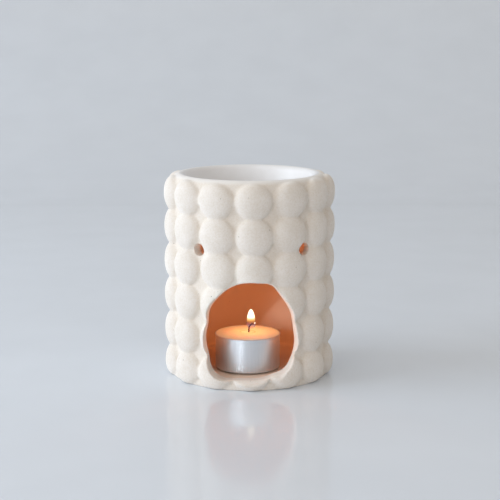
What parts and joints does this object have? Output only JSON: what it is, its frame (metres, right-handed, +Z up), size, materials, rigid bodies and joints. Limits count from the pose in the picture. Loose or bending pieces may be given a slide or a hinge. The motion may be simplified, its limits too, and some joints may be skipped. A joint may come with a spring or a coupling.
{
  "type": "wax melt warmer",
  "caption": "Free-standing ceramic warmer with a bubbled wall, a shallow glazed bowl for scented wax and an arched mouth that takes a tealight below it.",
  "frame": {"origin": "centre of the flat base, on the surface that the warmer stands on", "axes": "+Z up along the warmer's centre line, -Y towards the front with the mouth, +X to the right of someone facing the mouth"},
  "size_m": [0.101, 0.1008, 0.12],
  "materials": {
    "bisque": "matte cream with fine grain and a few dark specks",
    "glaze": "smooth white gloss glaze",
    "cup_metal": "pressed thin sheet, satin",
    "candle_wax": "paraffin wax, waxy and slightly see-through",
    "tab_metal": "stamped tinplate",
    "wick_cotton": "braided cotton, charred at the tip"
  },
  "bodies": {
    "warmer": {"ceramic_shell": "bisque", "wax_bowl": "glaze"},
    "tealight": {"tealight_cup": "cup_metal", "tealight_wax": "candle_wax", "wick_tab": "tab_metal", "wick": "wick_cotton"}
  },
  "joints": [
    {"name": "tealight_draw", "type": "slide", "parent": "warmer", "child": "tealight", "axis": [0, -0.9659, 0.2588], "range_m": [0, 0.065]}
  ]
}
